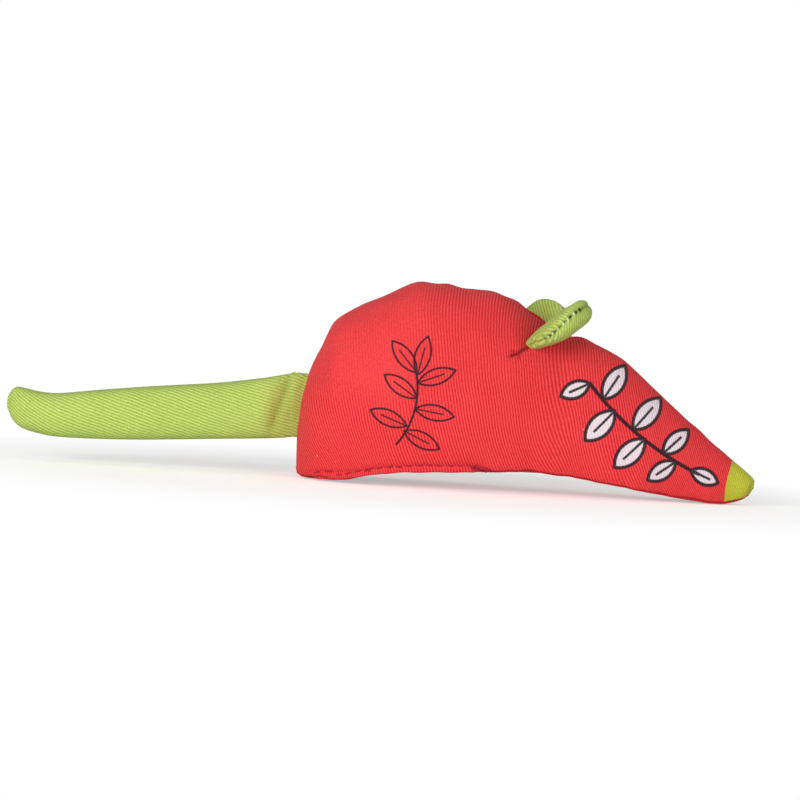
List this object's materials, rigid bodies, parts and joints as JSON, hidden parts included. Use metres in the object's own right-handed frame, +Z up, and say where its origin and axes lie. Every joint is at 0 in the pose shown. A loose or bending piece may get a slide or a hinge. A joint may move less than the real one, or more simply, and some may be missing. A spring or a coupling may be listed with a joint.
{
  "type": "catnip mouse",
  "caption": "Stuffed twill mouse toy with a gusseted base, a swinging padded tail and two padded ears that fold.",
  "frame": {"origin": "middle of the flat of the base panel, under the rump, on the toy's middle plane, where it stands", "axes": "+X from the tail to the nose, +Z up, +Y to the mouse's left"},
  "size_m": [0.2409, 0.061, 0.0649],
  "materials": {
    "red_twill": "ribbed cotton twill, matt",
    "lime_twill": "ribbed cotton twill, matt",
    "fibre_filling": "loose polyester fibre",
    "dried_catnip": "dried crushed leaf"
  },
  "bodies": {
    "mouse_body": {"side_panel_right": "red_twill", "side_panel_left": "red_twill", "base_panel": "red_twill", "body_filling": "fibre_filling", "catnip_fill": "dried_catnip", "tail_root": "lime_twill", "ear_right_root": "lime_twill", "ear_left_root": "lime_twill"},
    "tail": {"tail_panel_right": "lime_twill", "tail_panel_left": "lime_twill", "tail_filling": "fibre_filling"},
    "ear_right": {"ear_right_front": "lime_twill", "ear_right_back": "lime_twill"},
    "ear_left": {"ear_left_front": "lime_twill", "ear_left_back": "lime_twill"}
  },
  "joints": [
    {"name": "tail_swing", "type": "hinge", "parent": "mouse_body", "child": "tail", "pos_m": [-0.0213, 0, 0.0227], "axis": [0, 0, 1], "range_deg": [-65, 65], "stiffness_Nm_per_rad": 0.01},
    {"name": "ear_right_flap", "type": "hinge", "parent": "mouse_body", "child": "ear_right", "pos_m": [0.05846, -0.01245, 0.05138], "axis": [-0.4955, -0.7931, -0.3541], "range_deg": [-55, 75], "stiffness_Nm_per_rad": 0.005},
    {"name": "ear_left_flap", "type": "hinge", "parent": "mouse_body", "child": "ear_left", "pos_m": [0.05865, 0.01897, 0.04305], "axis": [0.7674, -0.5352, 0.3531], "range_deg": [-60, 35], "stiffness_Nm_per_rad": 0.005}
  ]
}
